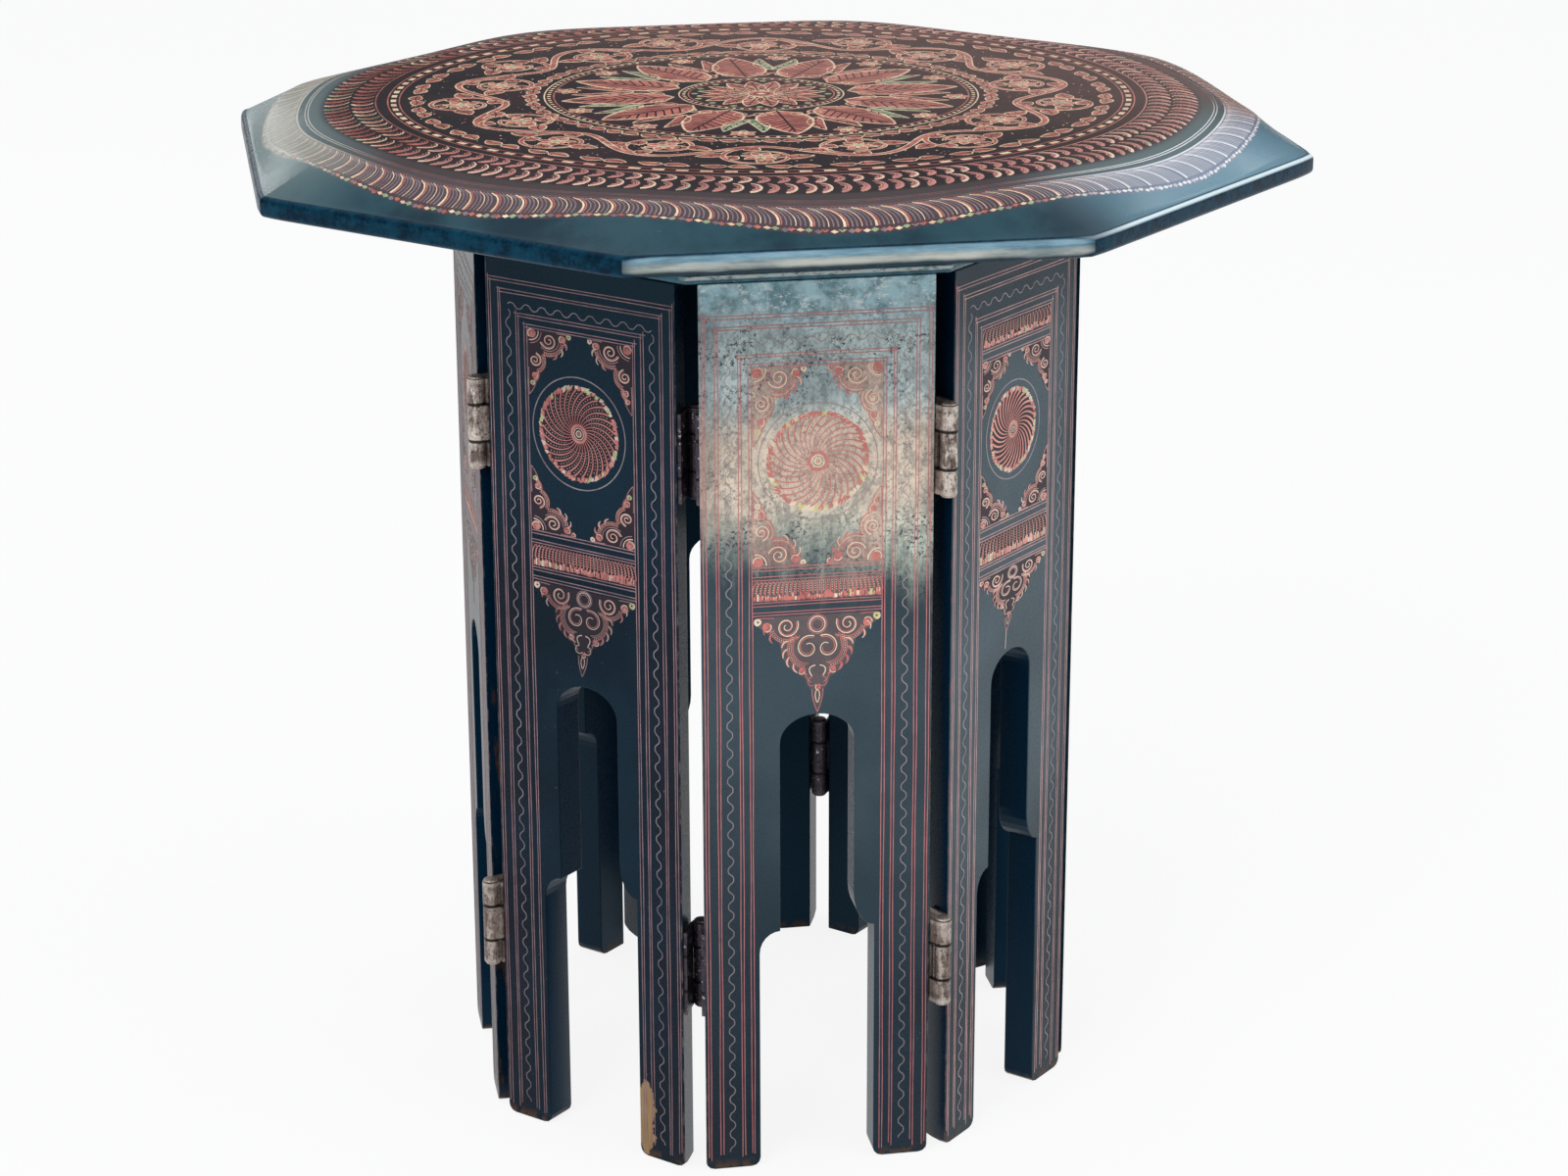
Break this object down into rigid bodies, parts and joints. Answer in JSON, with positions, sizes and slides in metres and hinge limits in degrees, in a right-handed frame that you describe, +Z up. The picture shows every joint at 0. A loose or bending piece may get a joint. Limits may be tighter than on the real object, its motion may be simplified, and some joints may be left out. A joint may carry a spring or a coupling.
{
  "type": "folding octagonal tea table",
  "caption": "Lacquered octagonal tea table: a loose raised top with a round field on a folding ring of arched hinged panels.",
  "frame": {"origin": "on the floor, under the centre of the table", "axes": "+Z up; the front panel faces -Y; +X to the right seen from the front"},
  "size_m": [0.566, 0.566, 0.573],
  "materials": {
    "panel_lacquer": "glossy blue-black lacquer over wood, engraved and coloured",
    "frame_lacquer": "glossy black lacquer over wood",
    "top_lacquer": "glossy maroon-black and blue-black lacquer over wood, engraved and coloured",
    "hinge_metal": "aged, pitted, dull grey-brown"
  },
  "bodies": {
    "front": {"front_panel": "panel_lacquer", "seam_1_upper_hinge_fork_leaf": "hinge_metal", "seam_1_upper_hinge_pin": "hinge_metal", "seam_8_upper_hinge_tongue_leaf": "hinge_metal", "seam_1_lower_hinge_fork_leaf": "hinge_metal", "seam_1_lower_hinge_pin": "hinge_metal", "seam_8_lower_hinge_tongue_leaf": "hinge_metal"},
    "front_right": {"front_right_panel": "panel_lacquer", "seam_2_upper_hinge_fork_leaf": "hinge_metal", "seam_2_upper_hinge_pin": "hinge_metal", "seam_1_upper_hinge_tongue_leaf": "hinge_metal", "seam_2_lower_hinge_fork_leaf": "hinge_metal", "seam_2_lower_hinge_pin": "hinge_metal", "seam_1_lower_hinge_tongue_leaf": "hinge_metal"},
    "right": {"right_panel": "panel_lacquer", "seam_3_upper_hinge_fork_leaf": "hinge_metal", "seam_3_upper_hinge_pin": "hinge_metal", "seam_2_upper_hinge_tongue_leaf": "hinge_metal", "seam_3_lower_hinge_fork_leaf": "hinge_metal", "seam_3_lower_hinge_pin": "hinge_metal", "seam_2_lower_hinge_tongue_leaf": "hinge_metal"},
    "back_right": {"back_right_panel": "panel_lacquer", "seam_4_upper_hinge_fork_leaf": "hinge_metal", "seam_4_upper_hinge_pin": "hinge_metal", "seam_3_upper_hinge_tongue_leaf": "hinge_metal", "seam_4_lower_hinge_fork_leaf": "hinge_metal", "seam_4_lower_hinge_pin": "hinge_metal", "seam_3_lower_hinge_tongue_leaf": "hinge_metal"},
    "back": {"back_panel": "panel_lacquer", "seam_5_upper_hinge_fork_leaf": "hinge_metal", "seam_5_upper_hinge_pin": "hinge_metal", "seam_4_upper_hinge_tongue_leaf": "hinge_metal", "seam_5_lower_hinge_fork_leaf": "hinge_metal", "seam_5_lower_hinge_pin": "hinge_metal", "seam_4_lower_hinge_tongue_leaf": "hinge_metal"},
    "back_left": {"back_left_panel": "panel_lacquer", "seam_6_upper_hinge_fork_leaf": "hinge_metal", "seam_6_upper_hinge_pin": "hinge_metal", "seam_5_upper_hinge_tongue_leaf": "hinge_metal", "seam_6_lower_hinge_fork_leaf": "hinge_metal", "seam_6_lower_hinge_pin": "hinge_metal", "seam_5_lower_hinge_tongue_leaf": "hinge_metal"},
    "left": {"left_panel": "panel_lacquer", "seam_7_upper_hinge_fork_leaf": "hinge_metal", "seam_7_upper_hinge_pin": "hinge_metal", "seam_6_upper_hinge_tongue_leaf": "hinge_metal", "seam_7_lower_hinge_fork_leaf": "hinge_metal", "seam_7_lower_hinge_pin": "hinge_metal", "seam_6_lower_hinge_tongue_leaf": "hinge_metal"},
    "front_left": {"front_left_panel": "panel_lacquer", "seam_8_upper_hinge_fork_leaf": "hinge_metal", "seam_8_upper_hinge_pin": "hinge_metal", "seam_7_upper_hinge_tongue_leaf": "hinge_metal", "seam_8_lower_hinge_fork_leaf": "hinge_metal", "seam_8_lower_hinge_pin": "hinge_metal", "seam_7_lower_hinge_tongue_leaf": "hinge_metal"},
    "top": {"top_frame": "frame_lacquer", "tabletop": "top_lacquer"}
  },
  "joints": [
    {"name": "base_fold", "type": "hinge", "parent": "front", "child": "front_left", "pos_m": [-0.06107, -0.14744, 0.2655], "axis": [0, 0, -1], "range_deg": [0, 125]},
    {"name": "seam_1_turn", "type": "hinge", "parent": "front", "child": "front_right", "pos_m": [0.07026, -0.16964, 0.2655], "axis": [0, 0, -1], "range_deg": [0, 45]},
    {"name": "seam_2_turn", "type": "hinge", "parent": "front_right", "child": "right", "pos_m": [0.14744, -0.06107, 0.2655], "axis": [0, 0, 1], "range_deg": [0, 125]},
    {"name": "seam_3_turn", "type": "hinge", "parent": "right", "child": "back_right", "pos_m": [0.16964, 0.07026, 0.2655], "axis": [0, 0, -1], "range_deg": [0, 205]},
    {"name": "seam_4_turn", "type": "hinge", "parent": "back_right", "child": "back", "pos_m": [0.06107, 0.14744, 0.2655], "axis": [0, 0, 1], "range_deg": [0, 125]},
    {"name": "seam_7_turn", "type": "hinge", "parent": "front_left", "child": "left", "pos_m": [-0.16964, -0.07026, 0.2655], "axis": [0, 0, 1], "range_deg": [0, 205]},
    {"name": "seam_6_turn", "type": "hinge", "parent": "left", "child": "back_left", "pos_m": [-0.14744, 0.06107, 0.2655], "axis": [0, 0, -1], "range_deg": [0, 125]},
    {"name": "top_lift", "type": "slide", "parent": "front", "child": "top", "axis": [0, 0, 1], "range_m": [0, 0.2]}
  ],
  "couplings": [
    {"joint": "seam_1_turn", "follows": "base_fold", "ratio": 0.36},
    {"joint": "seam_2_turn", "follows": "base_fold", "ratio": 1},
    {"joint": "seam_3_turn", "follows": "base_fold", "ratio": 1.64},
    {"joint": "seam_4_turn", "follows": "base_fold", "ratio": 1},
    {"joint": "seam_7_turn", "follows": "base_fold", "ratio": 1.64},
    {"joint": "seam_6_turn", "follows": "base_fold", "ratio": 1}
  ]
}
